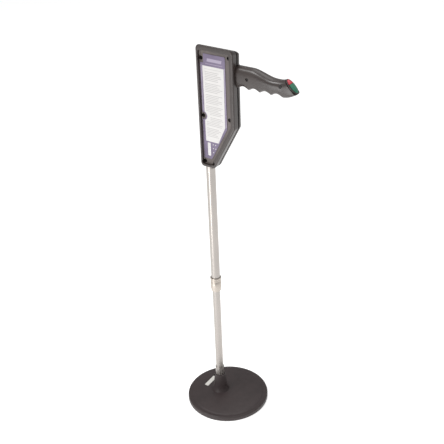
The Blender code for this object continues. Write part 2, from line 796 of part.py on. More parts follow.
def battery_bay():
    front = CELL_Y - CELL_RADIUS - 0.0015
    low = (0.0080, front, CELL_BOTTOM - 0.0035)
    high = (0.0392, CASE_BACK - CASE_WALL - GAP, CELL_BOTTOM + 2 * CELL_LENGTH + 0.0055)
    tray = box("battery_tray", low, high, "case_plastic")
    wall = 0.0011
    inner_low = (low[0] + wall * 0.4, front + wall, low[2] + wall)
    inner_high = (high[0] - wall * 0.4, CASE_BACK, high[2] - wall)
    cut(tray, box("tray_inside", inner_low, inner_high))
    for column, x in enumerate(CELL_X):
        for row in range(2):
            base = CELL_BOTTOM + row * (CELL_LENGTH + 0.001)
            top = base + CELL_LENGTH
            name = f"battery_cell_{2 * column + row + 1}"
            can = rod(name, CELL_RADIUS, (x, CELL_Y, base), (x, CELL_Y, top - 0.0015), "cell")
            join(can, rod(name + "_nub", 0.0025, (x, CELL_Y, top - 0.002), (x, CELL_Y, top), sides=12))
    contact_left = CELL_X[0] - 0.004
    contact_right = CELL_X[1] + 0.004
    for name, height in (
        ("lower_contact", CELL_BOTTOM - 0.0011),
        ("upper_contact", CELL_BOTTOM + 2 * CELL_LENGTH + 0.0013),
    ):
        low = (contact_left, CELL_Y - 0.004, height)
        high = (contact_right, CELL_Y + 0.004, height + 0.0008)
        box(name, low, high, "steel")


def battery_door():
    hinge = add_frame("door_hinge", (0.0, *DOOR_PIVOT))
    low = (DOOR_LEFT, DOOR_FRONT - DOOR_PIVOT[0], DOOR_BOTTOM - DOOR_PIVOT[1])
    high = (DOOR_RIGHT, CASE_BACK - DOOR_PIVOT[0], DOOR_TOP - DOOR_PIVOT[1])
    door = box("battery_door", low, high, "case_plastic", hinge)
    pin_from = (DOOR_LEFT - 0.0012, 0.0, 0.0)
    pin_to = (DOOR_RIGHT + 0.0012, 0.0, 0.0)
    pins = rod("door_pins", DOOR_PIN_RADIUS, pin_from, pin_to, None, hinge, 12)
    join(door, pins)
    for index in range(3):
        z = high[2] - 0.008 - 0.003 * index
        groove_low = (0.015, high[1] - 0.0005, z)
        groove_high = (0.032, high[1] + 0.001, z + 0.0012)
        groove = box(f"thumb_groove_{index}", groove_low, groove_high, None, hinge)
        cut(door, groove)


# ---------------------------------------------------------------- pistol grip


def grip_axis(x):
    return GRIP_AXIS_Z - GRIP_DROOP * (x - CASE_RIGHT)


def grip_top(x):
    """Height of the grip's back above its axis: a long fall, then a lift to the end."""
    share = min(max((x - FALL_START) / (FALL_END - FALL_START), 0.0), 1.0)
    fall = BACK_FALL * share * share * (3.0 - 2.0 * share)
    lift = LIFT_HEIGHT * min(max(x - LIFT_START, 0.0) / LIFT_LENGTH, LIFT_LIMIT) ** 2
    return BACK_HIGH - fall + lift - grip_axis(x)


def grip_bottom(x):
    """Depth of the grip below its axis: finger hollows with crests between, then a rising tail."""
    if x < TAIL_START:
        rise = FINGER_DEPTH * abs(math.sin(math.pi * (x - FINGER_START) / FINGER_PITCH))
    else:
        rise = TAIL_RISE * ((x - TAIL_START) / TAIL_LENGTH) ** TAIL_POWER
    return grip_axis(x) - CREST_LOW - rise


def grip_half_width(x):
    """Half width of the grip: a slight swell in the palm, then a taper to the end."""
    swell = SWELL * math.sin(math.pi * min((x - CASE_RIGHT) / SWELL_LENGTH, 1.0))
    along = max(x - TAIL_START, 0.0) / TAIL_TAPER
    return (ROOT_HALF_WIDTH + swell) * math.sqrt(1.0 - along * along)


def grip_ring(x, inset, points):
    """Return one squared oval section of the grip."""
    ring = []
    for index in range(points):
        angle = 2.0 * math.pi * index / points
        side = math.copysign(abs(math.cos(angle)) ** SECTION_POWER, math.cos(angle))
        rise = math.copysign(abs(math.sin(angle)) ** SECTION_POWER, math.sin(angle))
        reach = grip_top(x) if rise > 0.0 else grip_bottom(x)
        y = GRIP_Y + side * (grip_half_width(x) - inset)
        ring.append((x, y, grip_axis(x) + rise * (reach - inset)))
    return ring


def grip_stations(start, end, step):
    """Return section places along X that fall on the crests between the fingers."""
    places = [start]
    x = FINGER_START - FINGER_PITCH
    while x < end:
        if x > start + 0.3 * step:
            places.append(x)
        x += step
    places.append(end)
    return places


def end_plane_cut(name, depth, frame):
    """Return a block that covers everything beyond the sloping end."""
    return box(name, (-0.04, -0.03, -depth), (0.04, 0.03, 0.04), None, frame)


def grip_half(name, front, frame):
    """Return one moulded half of the grip."""
    rings = [grip_ring(x, 0.0, 18) for x in grip_stations(GRIP_ROOT, GRIP_TIP, FINGER_PITCH / 6)]
    half = loft(name, rings, "case_plastic")
    inner = grip_stations(GRIP_ROOT + 0.0024, GRIP_TIP + 0.002, FINGER_PITCH / 2)
    hollow = loft(name + "_hollow", [grip_ring(x, GRIP_WALL, 12) for x in inner])
    pocket = oval(name + "_pocket", BUTTON_LENGTH + 0.0004, BUTTON_WIDTH + 0.0004, -0.0048, 0.01, frame)
    cut(half, hollow, end_plane_cut(name + "_end", 0.0025, frame), pocket, grip_opening(name + "_opening"))
    if not front:
        x, z = GRIP_SCREWS[1]
        join(half, rod("rear_grip_post", 0.0030, (x, GRIP_Y, z), (x, GRIP_Y + 0.0095, z), sides=16))
    for index, (x, z) in enumerate(GRIP_SCREWS):
        if front:
            post_from = (x, GRIP_Y - 0.0095, z)
            post = rod(f"front_grip_post_{index}", 0.0042, post_from, (x, SPIGOT_Y[0] - GAP, z), sides=16)
            join(half, post)
            seat = (x, GRIP_SCREW_SEAT, z)
            sink = rod(f"grip_sink_{index}", GRIP_SCREW_SINK, (x, -0.02, z), seat, sides=16)
            cut(half, sink)
        hole = rod(f"{name}_hole_{index}", 0.0015, (x, -0.02, z), (x, GRIP_Y + 0.0098, z), sides=12)
        cut(half, hole)
    parting = GRIP_Y - GAP / 2 if front else GRIP_Y + GAP / 2
    side = -0.03 if front else 0.04
    low = (0.05, min(parting, side), 0.70)
    high = (0.24, max(parting, side), 0.78)
    keep(half, box(name + "_side", low, high))
    return half


def grip_spigot():
    low = (CASE_RIGHT - 0.012, SPIGOT_Y[0], SPIGOT_Z[0])
    high = (0.0985, SPIGOT_Y[1], SPIGOT_Z[1])
    spigot = box("grip_spigot", low, high, "aluminium")
    flange_low = (CASE_RIGHT - 0.006, SPIGOT_Y[0], SPIGOT_Z[0] - 0.0045)
    flange = box("spigot_flange", flange_low, (CASE_RIGHT - 0.0028, 0.0070, SPIGOT_Z[1] + 0.0045))
    join(spigot, flange)
    channel_low = (CASE_RIGHT - 0.020, CHANNEL_Y[0], CHANNEL_FLOOR)
    cut(spigot, box("spigot_channel", channel_low, (0.12, CHANNEL_Y[1], 0.754)))
    x, z = GRIP_SCREWS[0]
    cut(spigot, rod("spigot_screw_bore", 0.0015, (x, -0.02, z), (x, 0.03, z), sides=12))


def grip_screws():
    for index, (x, z) in enumerate(GRIP_SCREWS):
        seat = GRIP_SCREW_SEAT - GAP
        front = (x, seat - 0.0014, z)
        head = rod(f"grip_screw_{index + 1}", GRIP_SCREW_HEAD, front, (x, seat, z), "steel", sides=16)
        shank_from = (x, seat - 0.0004, z)
        shank = rod(f"grip_shank_{index}", GRIP_SCREW_SHANK, shank_from, (x, GRIP_Y + 0.0085, z), sides=12)
        join(head, shank)


def oval(name, half_length, half_width, low, high, frame, slot=None, sides=40):
    """Return an oval plate in the frame of the sloping end."""
    plate = rod(name, 1.0, (0.0, 0.0, low), (0.0, 0.0, high), slot, frame, sides)
    plate.data.transform(Matrix.Diagonal((half_length, half_width, 1.0, 1.0)))
    return plate


def button(name, low, high, slot, frame):
    """Return one end of a long dome that stands out of the sloping end."""
    bm = bmesh.new()
    bmesh.ops.create_uvsphere(bm, u_segments=24, v_segments=12, radius=1.0)
    bmesh.ops.scale(bm, verts=bm.verts, vec=(BUTTON_LENGTH, BUTTON_WIDTH, BUTTON_DOME))
    dome = add_solid(name, to_mesh(name, bm), slot, frame)
    keep(dome, box(name + "_share", (low, -0.02, -0.02), (high, 0.02, 0.02), None, frame))
    return dome


def button_group(frame):
    bezel = oval("button_bezel", BEZEL_LENGTH, BEZEL_WIDTH, -0.0022, 0.0, frame, "case_plastic")
    soften(bezel, 0.0007, 1)
    cut(bezel, oval("bezel_opening", BUTTON_LENGTH + 0.0004, BUTTON_WIDTH + 0.0004, -0.01, 0.01, frame))
    button("red_button", -0.03, BUTTON_SPLIT - 0.0004, "red_plastic", frame)
    button("green_button", BUTTON_SPLIT + 0.0004, 0.03, "green_plastic", frame)
    box("switch_board", (-0.0098, -0.0042, -0.0090), (0.0078, 0.0042, -0.0076), "board", frame)
    box("red_switch", (-0.0094, -0.0022, -0.0073), (-0.0052, 0.0022, -0.0050), "chip", frame)
    box("green_switch", (0.0010, -0.0022, -0.0073), (0.0052, 0.0022, -0.0050), "chip", frame)


def grip_lead():
    wire(
        "grip_lead",
        0.0012,
        [
            (0.1697, 0.0050, 0.7293),
            (0.1580, 0.0050, 0.7278),
            (0.1400, 0.0055, 0.7330),
            (0.1180, 0.0074, 0.7410),
            (0.1010, 0.0079, 0.7440),
            (0.0740, 0.0079, 0.7440),
            (0.0525, 0.0079, 0.7440),
            (0.0495, 0.0058, 0.7425),
            (0.0470, 0.0028, 0.7395),
            (0.0440, 0.0010, 0.7375),
            (0.0400, 0.0010, 0.7375),
        ],
        "cable",
    )


def build():
    antenna_cover()
    antenna_base()
    base_screws()
    antenna_coil()
    coil_electronics()
    disc_sticker()
    pole_mount()
    lower_pole()
    pole_lock()
    pole_spigot()
    pole_leads()
    front_shell()
    case_gasket()
    rear_shell()
    case_screws()
    face_label()
    head_electronics()
    battery_bay()
    battery_door()
    end_frame = add_frame("grip_end", END_CENTRE, END_TILT)
    grip_half("grip_front_half", True, end_frame)
    grip_half("grip_rear_half", False, end_frame)
    grip_spigot()
    grip_screws()
    button_group(end_frame)
    grip_lead()


build()
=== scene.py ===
"""Looks of a walk-along tag reader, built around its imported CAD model.  Metres, +Z up.

The origin is on the floor, on the pole's axis.  +X runs from the pole towards the grip, and the
labelled face of the head looks along -Y.
"""

import json
import math

import bmesh
import bpy
from mathutils import Matrix, Vector


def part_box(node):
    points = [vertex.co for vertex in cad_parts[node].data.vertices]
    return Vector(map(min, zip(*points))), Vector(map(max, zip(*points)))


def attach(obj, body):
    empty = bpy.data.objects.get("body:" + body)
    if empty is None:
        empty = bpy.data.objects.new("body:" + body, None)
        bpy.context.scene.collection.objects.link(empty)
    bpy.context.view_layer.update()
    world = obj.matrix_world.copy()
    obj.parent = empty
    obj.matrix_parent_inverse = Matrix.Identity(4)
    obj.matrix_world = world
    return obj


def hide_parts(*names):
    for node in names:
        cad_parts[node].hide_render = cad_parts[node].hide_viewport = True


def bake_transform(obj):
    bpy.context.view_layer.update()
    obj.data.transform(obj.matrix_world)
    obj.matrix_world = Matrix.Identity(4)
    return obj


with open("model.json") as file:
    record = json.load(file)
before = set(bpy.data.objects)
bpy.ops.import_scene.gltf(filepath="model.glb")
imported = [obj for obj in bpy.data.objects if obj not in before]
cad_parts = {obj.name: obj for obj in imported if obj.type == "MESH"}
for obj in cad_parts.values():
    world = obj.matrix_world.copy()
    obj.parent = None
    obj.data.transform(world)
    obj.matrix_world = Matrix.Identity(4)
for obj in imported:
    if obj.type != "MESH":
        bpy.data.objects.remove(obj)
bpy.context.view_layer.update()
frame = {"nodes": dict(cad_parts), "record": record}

# View: camera place, the point it looks at, its roll and its lens.
CAMERA_PLACE = Vector((0.9138, -1.2078, 1.2750))
CAMERA_AIM = Vector((0.1366, -0.1560, 0.5404))
CAMERA_ROLL = math.radians(-2.297)
CAMERA_LENS = 72.06

# Sizes read from the frame.
FOOT_LOW, FOOT_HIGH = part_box("antenna_cover")
LOWER_LOW, LOWER_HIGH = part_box("lower_tube")
UPPER_LOW, UPPER_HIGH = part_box("upper_tube")
FERRULE_LOW, FERRULE_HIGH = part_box("pole_ferrule")
COLLAR_LOW, COLLAR_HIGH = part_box("lock_collar")
LIP_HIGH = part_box("lock_body")[1]
FRONT_LOW, FRONT_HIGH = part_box("front_shell")
REAR_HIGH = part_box("rear_shell")[1]
LABEL_LOW, LABEL_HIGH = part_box("face_label")
DOOR_LOW, DOOR_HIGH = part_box("battery_door")
GRIP_LOW, GRIP_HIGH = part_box("grip_front_half")
SCREWS = [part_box(f"case_screw_{index + 1}") for index in range(6)]
GRIP_SCREWS = [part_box(f"grip_screw_{index + 1}") for index in range(2)]

# Clearance between neighbouring pieces, and the wall of the pole's tubes.
GAP = 0.0003
TUBE_WALL = 0.0009
RIBS = 48.0
RIB_DEPTH = 0.00022
BOSS_TOP_RADIUS = 0.0112

FOOT_X = (FOOT_LOW.x + FOOT_HIGH.x) / 2
FOOT_RADIUS = (FOOT_HIGH.x - FOOT_LOW.x) / 2
FOOT_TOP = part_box("disc_sticker")[0].z - GAP
BOSS_TOP = FOOT_HIGH.z
CASE_LEFT = FRONT_LOW.x
CASE_RIGHT = FRONT_HIGH.x
CASE_BOTTOM = FRONT_LOW.z
CASE_TOP = FRONT_HIGH.z
CASE_FRONT = FRONT_LOW.y
CASE_BACK = REAR_HIGH.y
GRIP_Y = GRIP_HIGH.y + 0.00015


# ---------------------------------------------------------------- materials


class Shader:
    """A Principled material under construction, with short ways to add nodes."""

    def __init__(self, name, colour, roughness, metallic=0.0):
        self.material = bpy.data.materials.new(name)
        self.material.use_nodes = True
        self.tree = self.material.node_tree
        self.bsdf = self.tree.nodes["Principled BSDF"]
        self.bsdf.inputs["Base Color"].default_value = (*colour, 1.0)
        self.bsdf.inputs["Roughness"].default_value = roughness
        self.bsdf.inputs["Metallic"].default_value = metallic
        self.place = self.tree.nodes.new("ShaderNodeTexCoord").outputs["Object"]

    def link(self, source, target):
        self.tree.links.new(source, target)

    def mapped(self, scale):
        node = self.tree.nodes.new("ShaderNodeMapping")
        node.inputs["Scale"].default_value = scale
        self.link(self.place, node.inputs["Vector"])
        return node.outputs["Vector"]

    def noise(self, scale, detail=2.0, stretch=(1.0, 1.0, 1.0)):
        node = self.tree.nodes.new("ShaderNodeTexNoise")
        node.inputs["Scale"].default_value = scale
        node.inputs["Detail"].default_value = detail
        self.link(self.mapped(stretch), node.inputs["Vector"])
        return node.outputs["Fac"]

    def spread(self, source, low, high, start=0.3, end=0.7):
        node = self.tree.nodes.new("ShaderNodeMapRange")
        node.inputs["From Min"].default_value = start
        node.inputs["From Max"].default_value = end
        node.inputs["To Min"].default_value = low
        node.inputs["To Max"].default_value = high
        self.link(source, node.inputs["Value"])
        return node.outputs["Result"]

    def blend(self, factor, first, second):
        node = self.tree.nodes.new("ShaderNodeMix")
        node.data_type = "RGBA"
        for socket, colour in ((node.inputs[6], first), (node.inputs[7], second)):
            if isinstance(colour, bpy.types.NodeSocket):
                self.link(colour, socket)
            else:
                socket.default_value = (*colour, 1.0)
        self.link(factor, node.inputs[0])
        return node.outputs[2]

    def colour(self, source):
        self.link(source, self.bsdf.inputs["Base Color"])

    def rough(self, source):
        self.link(source, self.bsdf.inputs["Roughness"])

    def bump(self, source, strength, distance):
        node = self.tree.nodes.new("ShaderNodeBump")
        node.inputs["Strength"].default_value = strength
        node.inputs["Distance"].default_value = distance
        self.link(source, node.inputs["Height"])
        if self.bsdf.inputs["Normal"].links:
            self.link(self.bsdf.inputs["Normal"].links[0].from_socket, node.inputs["Normal"])
        self.link(node.outputs["Normal"], self.bsdf.inputs["Normal"])


def shade(colour, share):
    """Return a colour made darker or lighter."""
    return tuple(channel * share for channel in colour)


def plastic(name, colour, roughness, grain, depth, gloss=0.0):
    """Moulded plastic: a fine spark-eroded grain over slow changes in colour and sheen."""
    shader = Shader(name, colour, roughness)
    clouds = shader.noise(38.0, 3.0)
    shader.colour(shader.blend(shader.spread(clouds, 0.0, 1.0), shade(colour, 0.86), shade(colour, 1.16)))
    shader.rough(shader.spread(shader.noise(90.0, 4.0), roughness - 0.05, roughness + 0.06))
    shader.bump(shader.noise(grain, 3.0), depth, 0.0003)
    shader.bump(shader.noise(55.0, 2.0), 0.10, 0.0006)
    shader.bsdf.inputs["Coat Weight"].default_value = gloss
    shader.bsdf.inputs["Coat Roughness"].default_value = 0.18
    return shader.material


def drawn_metal(name, colour, roughness, stretch, lines):
    """Satin metal with fine lines left by drawing or turning."""
    shader = Shader(name, colour, roughness, 1.0)
    streak = shader.noise(1.0, 3.0, stretch)
    shader.rough(shader.spread(streak, roughness - 0.05, roughness + 0.09))
    clouds = shader.noise(22.0, 3.0)
    shader.colour(shader.blend(shader.spread(clouds, 0.0, 1.0), shade(colour, 0.94), shade(colour, 1.03)))
    shader.bump(streak, lines, 0.0002)
    return shader.material


def printed(name, colour, ink):
    """Printed film: a soft change of ink along its height, and a fine matte weave."""
    shader = Shader(name, colour, 0.42)
    clouds = shader.noise(30.0, 2.0)
    shader.colour(shader.blend(shader.spread(clouds, 0.0, 1.0), colour, ink))
    shader.bump(shader.noise(1400.0, 2.0), 0.12, 0.0002)
    shader.rough(shader.spread(shader.noise(120.0), 0.36, 0.48))
    return shader.material


def dome_plastic(name, colour):
    """Tinted button plastic with a soft, slightly scuffed polish."""
    shader = Shader(name, colour, 0.30)
    clouds = shader.spread(shader.noise(160.0, 3.0), 0.0, 1.0)
    shader.colour(shader.blend(clouds, shade(colour, 0.85), shade(colour, 1.15)))
    shader.rough(shader.spread(shader.noise(400.0, 4.0), 0.24, 0.40))
    shader.bump(shader.noise(900.0, 2.0), 0.08, 0.0002)
    shader.bsdf.inputs["Coat Weight"].default_value = 0.35
    shader.bsdf.inputs["Coat Roughness"].default_value = 0.25
    shader.bsdf.inputs["Subsurface Weight"].default_value = 0.10
    shader.bsdf.inputs["Subsurface Scale"].default_value = 0.002
    return shader.material


def circuit_board():
    """Green solder mask over darker tracks."""
    shader = Shader("circuit_board", (0.02, 0.16, 0.06), 0.4)
    tracks = shader.tree.nodes.new("ShaderNodeTexBrick")
    tracks.inputs["Scale"].default_value = 240.0
    tracks.inputs["Mortar Size"].default_value = 0.03
    shader.link(shader.mapped((1.0, 1.0, 1.0)), tracks.inputs["Vector"])
    shader.colour(shader.blend(tracks.outputs["Fac"], (0.015, 0.13, 0.05), (0.03, 0.24, 0.09)))
    shader.bump(tracks.outputs["Fac"], 0.2, 0.0002)
    return shader.material


def winding():
    """Enamelled wire: close round turns."""
    shader = Shader("coil_winding", (0.60, 0.28, 0.12), 0.3, 1.0)
    shader.bump(shader.noise(1.0, 1.0, (8.0, 8.0, 2600.0)), 0.5, 0.0004)
    shader.rough(shader.spread(shader.noise(200.0), 0.24, 0.38))
    return shader.material


def make_materials():
    """Return one detailed material for each slot of the record."""
    return {
        "case_plastic": plastic("case_plastic_grain", (0.040, 0.029, 0.026), 0.38, 1500.0, 0.22, 0.35),
        "foot_plastic": plastic("foot_plastic_grain", (0.034, 0.023, 0.023), 0.50, 1700.0, 0.20),
        "aluminium": drawn_metal("drawn_aluminium", (0.44, 0.41, 0.385), 0.27, (2600.0, 2600.0, 9.0), 0.10),
        "collar_metal": drawn_metal("turned_collar", (0.52, 0.47, 0.42), 0.34, (9.0, 9.0, 3200.0), 0.16),
        # The screws' near-black colour is painted shade from their deep recesses, not a finish of the steel.
        "steel": drawn_metal("screw_steel_painted_shade", (0.035, 0.033, 0.032), 0.40, (1500.0, 1500.0, 1500.0), 0.12),
        "gasket_rubber": plastic("gasket_rubber_skin", (0.018, 0.017, 0.017), 0.72, 1200.0, 0.15),
        "label": printed("label_violet", (0.15, 0.12, 0.19), (0.21, 0.17, 0.26)),
        "sticker": printed("sticker_film", (0.72, 0.71, 0.67), (0.60, 0.58, 0.54)),
        "red_plastic": dome_plastic("red_dome", (0.60, 0.035, 0.06)),
        "green_plastic": dome_plastic("green_dome", (0.035, 0.20, 0.12)),
        "nylon": plastic("nylon_natural", (0.70, 0.68, 0.60), 0.45, 900.0, 0.10),
        "copper": winding(),
        "board": circuit_board(),
        "chip": plastic("chip_epoxy", (0.022, 0.022, 0.023), 0.42, 2200.0, 0.10),
        "cell": plastic("cell_wrap", (0.10, 0.10, 0.13), 0.30, 300.0, 0.05, 0.30),
        "cable": plastic("cable_sheath", (0.03, 0.03, 0.03), 0.50, 1300.0, 0.12),
    }


MATERIALS = make_materials()
PANEL = printed("label_white", (0.74, 0.72, 0.71), (0.68, 0.665, 0.65))
PRINT = printed("label_print", (0.47, 0.455, 0.45), (0.52, 0.51, 0.50))
LILAC = printed("label_lilac", (0.36, 0.31, 0.42), (0.42, 0.37, 0.47))
# Lighter copy of the case plastic for the sunk tray floor: a painted highlight standing in for light caught
# by the glossy floor.
TRAY_PAINTED_HIGHLIGHT = plastic("tray_plastic_painted_highlight", (0.115, 0.092, 0.084), 0.34, 1500.0, 0.16, 0.20)


def dress_frame():
    """Give every CAD node the detailed material of its slot."""
    for part in frame["record"]["subparts"]:
        node = frame["nodes"][part["node"]]
        node.data.materials.clear()
        node.data.materials.append(MATERIALS[part["material_slot"]])


# ---------------------------------------------------------------- mesh helpers


def new_piece(name, bm, slot, body, material=None, sharp=35.0):
    """Turn a bmesh into a smooth shaded piece; it rides on a CAD body when one is given."""
    bmesh.ops.recalc_face_normals(bm, faces=bm.faces)
    mesh = bpy.data.meshes.new(name)
    bm.to_mesh(mesh)
    bm.free()
    mesh.shade_smooth()
    mesh.set_sharp_from_angle(angle=math.radians(sharp))
    mesh.materials.append(material or MATERIALS[slot])
    piece = bpy.data.objects.new(name, mesh)
    bpy.context.scene.collection.objects.link(piece)
    if body:
        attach(piece, body)
    return piece


def scratch(bm, name="cutter"):
    """Return a bmesh as a plain object for a Boolean; it is removed afterwards."""
    bmesh.ops.recalc_face_normals(bm, faces=bm.faces)
    mesh = bpy.data.meshes.new(name)
    bm.to_mesh(mesh)
    bm.free()
    tool = bpy.data.objects.new(name, mesh)
    bpy.context.scene.collection.objects.link(tool)
    return tool


def carve(piece, steps, sharp=35.0):
    """Apply a row of (operation, tool) Booleans to a piece and drop the tools."""
    for operation, tool in steps:
        boolean = piece.modifiers.new("carve", "BOOLEAN")
        boolean.operation = operation
        boolean.object = tool
        boolean.solver = "MANIFOLD"
    bpy.context.view_layer.update()
    result = bpy.data.meshes.new_from_object(piece.evaluated_get(bpy.context.evaluated_depsgraph_get()))
    piece.modifiers.clear()
    old = piece.data
    piece.data = result
    bpy.data.meshes.remove(old)
    for _operation, tool in steps:
        bpy.data.objects.remove(tool)
    result.shade_smooth()
    result.set_sharp_from_angle(angle=math.radians(sharp))
    return piece


def cut(bm):
    """Return the step that takes a shape away."""
    return ("DIFFERENCE", scratch(bm))


def weld(bm):
    """Return the step that adds a shape."""
    return ("UNION", scratch(bm))


def middle_of(corners):
    """Return the X and Z of the middle of a box."""
    low, high = corners
    return (low.x + high.x) / 2, (low.z + high.z) / 2


def bridge(loops, close=False):
    """Skin a row of closed loops; cap both ends, or join the last loop to the first."""
    bm = bmesh.new()
    rows = [[bm.verts.new(point) for point in loop] for loop in loops]
    pairs = list(zip(rows, rows[1:]))
    if close:
        pairs.append((rows[-1], rows[0]))
    for near, far in pairs:
        for index in range(len(near)):
            after = (index + 1) % len(near)
            bm.faces.new((near[index], near[after], far[after], far[index]))
    if not close:
        bm.faces.new(rows[0])
        bm.faces.new(rows[-1])
    return bm


def turned(profile, steps=96, centre=(0.0, 0.0)):
    """Turn a closed profile of (radius, height) about a vertical axis."""
    loops = []
    for step in range(steps):
        angle = 2.0 * math.pi * step / steps
        across = (math.cos(angle), math.sin(angle))
        loops.append([(centre[0] + r * across[0], centre[1] + r * across[1], z) for r, z in profile])
    return bridge(loops, close=True)


def block(low, high):
    """Return a block between two corners."""
    bm = bmesh.new()
    bmesh.ops.create_cube(bm, size=1.0)
    low = Vector(low)
    high = Vector(high)
    bmesh.ops.scale(bm, verts=bm.verts, vec=high - low)
    bmesh.ops.translate(bm, verts=bm.verts, vec=(low + high) / 2)
    return bm


def rod(radius, start, end, sides=40):
    """Return a straight round bar between two points."""
    start = Vector(start)
    end = Vector(end)
    along = end - start
    bm = bmesh.new()
    bmesh.ops.create_cone(
        bm, cap_ends=True, segments=sides, radius1=radius, radius2=radius, depth=along.length
    )
    turn = along.to_track_quat("Z", "Y").to_matrix().to_4x4()
    bmesh.ops.transform(bm, verts=bm.verts, matrix=Matrix.Translation((start + end) / 2) @ turn)
    return bm


def quarter(radius, steps=4):
    """Return (set in, set back) pairs around a rounded edge, from the side to the face."""
    pairs = []
    for step in range(steps + 1):
        angle = math.pi / 2 * step / steps
        pairs.append((radius * (1.0 - math.cos(angle)), radius * math.sin(angle)))
    return pairs


# ---------------------------------------------------------------- view, light and floor


def camera():
    """Place the camera and make it the scene's own."""
    data = bpy.data.cameras.new("camera")
    data.lens = CAMERA_LENS
    data.sensor_width = 36.0
    data.clip_start = 0.05
    view = bpy.data.objects.new("camera", data)
    bpy.context.scene.collection.objects.link(view)
    turn = (CAMERA_AIM - CAMERA_PLACE).to_track_quat("-Z", "Y").to_matrix().to_4x4()
    view.matrix_world = Matrix.Translation(CAMERA_PLACE) @ turn @ Matrix.Rotation(CAMERA_ROLL, 4, "Z")
    bpy.context.scene.camera = view


def lamp(name, place, aim, size, power):
    """Place one soft box that faces a point."""
    data = bpy.data.lights.new(name, "AREA")
    data.shape = "RECTANGLE"
    data.size, data.size_y = size
    data.energy = power
    light = bpy.data.objects.new(name, data)
    bpy.context.scene.collection.objects.link(light)
    light.location = place
    light.rotation_euler = (Vector(aim) - Vector(place)).to_track_quat("-Z", "Y").to_euler()
    light.visible_camera = False


def studio():
    """Pale floor, soft white surroundings and three soft boxes."""
    world = bpy.data.worlds.new("studio")
    world.use_nodes = True
    world.node_tree.nodes["Background"].inputs["Color"].default_value = (1.0, 1.0, 1.0, 1.0)
    world.node_tree.nodes["Background"].inputs["Strength"].default_value = 0.46
    bpy.context.scene.world = world
    bpy.context.scene.view_settings.view_transform = "Standard"
    middle = (0.04, 0.0, 0.45)
    lamp("key_light", (-0.9, -1.5, 2.4), middle, (0.8, 0.8), 21.0)
    lamp("top_light", (0.1, 0.5, 2.6), (0.04, 0.1, 0.0), (2.0, 2.0), 22.0)
    lamp("strip_light", (-0.10, -0.62, 0.36), (0.0, 0.0, 0.30), (0.16, 0.66), 1.5)
    bm = bmesh.new()
    bmesh.ops.create_grid(bm, x_segments=2, y_segments=2, size=6.0)
    mesh = bpy.data.meshes.new("studio_floor")
    bm.to_mesh(mesh)
    bm.free()
    paper = Shader("studio_paper", (0.92, 0.92, 0.915), 0.9)
    paper.bump(paper.noise(60.0), 0.05, 0.0005)
    paper.bsdf.inputs["Emission Color"].default_value = (1.0, 1.0, 1.0, 1.0)
    paper.bsdf.inputs["Emission Strength"].default_value = 0.50
    mesh.materials.append(paper.material)
    floor = bpy.data.objects.new("studio_floor", mesh)
    floor.location = (0.0, 0.0, -0.0002)
    bpy.context.scene.collection.objects.link(floor)


# ---------------------------------------------------------------- pole


def washer_profile(outer, inner, low, high, edge=0.0004):
    """Cross section of a tube with broken edges."""
    return [
        (outer - edge, high),
        (outer, high - edge),
        (outer, low + edge),
        (outer - edge, low),
        (inner, low),
        (inner, high),
    ]


def pole():
    """Upper and lower tube, with broken edges."""
    lower_radius = LOWER_HIGH.x
    upper_radius = UPPER_HIGH.x
    lower = washer_profile(lower_radius, lower_radius - TUBE_WALL, LOWER_LOW.z, LOWER_HIGH.z)
    piece = new_piece("lower_tube_fine", turned(lower), "aluminium", "foot")
    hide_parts("lower_tube")
    upper = washer_profile(upper_radius, upper_radius - TUBE_WALL, UPPER_LOW.z, UPPER_HIGH.z)
    piece = new_piece("upper_tube_fine", turned(upper), "aluminium", "head")
    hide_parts("upper_tube")


def coiled_lead():
    """Spring lead inside the pole: a close coil of round wire, attached to no body."""
    low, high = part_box("coiled_lead")
    wire = 0.0009
    reach = high.x - wire
    turns = 34
    start = low.z + wire
    rise = high.z - low.z - 2.0 * wire
    loops = []
    for step in range(turns * 14 + 1):
        share = step / (turns * 14)
        angle = 2.0 * math.pi * turns * share
        across = Vector((math.cos(angle), math.sin(angle), 0.0))
        centre = across * reach + Vector((0.0, 0.0, start + rise * share))
        section = [2.0 * math.pi * index / 8 for index in range(8)]
        loops.append([centre + wire * (across * math.cos(a) + Vector((0, 0, math.sin(a)))) for a in section])
    piece = new_piece("coiled_lead_fine", bridge(loops), "cable", None)
    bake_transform(piece)
    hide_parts("coiled_lead")


def ferrule():
    """Pole socket: a plain sleeve with a rolled ring and a shallow groove under its top."""
    outer = FERRULE_HIGH.x
    bore = LOWER_HIGH.x + GAP
    top = FERRULE_HIGH.z
    profile = [(bore + 0.0001, top), (outer - 0.0004, top), (outer, top - 0.0004)]
    profile += [(outer, top - 0.0030), (outer - 0.0004, top - 0.0034), (outer - 0.0004, top - 0.0042)]
    profile += [(outer, top - 0.0046), (outer, FERRULE_LOW.z), (bore, FERRULE_LOW.z), (bore, top - 0.0001)]
    piece = new_piece("pole_ferrule_fine", turned(profile), "aluminium", "foot")
    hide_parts("pole_ferrule")


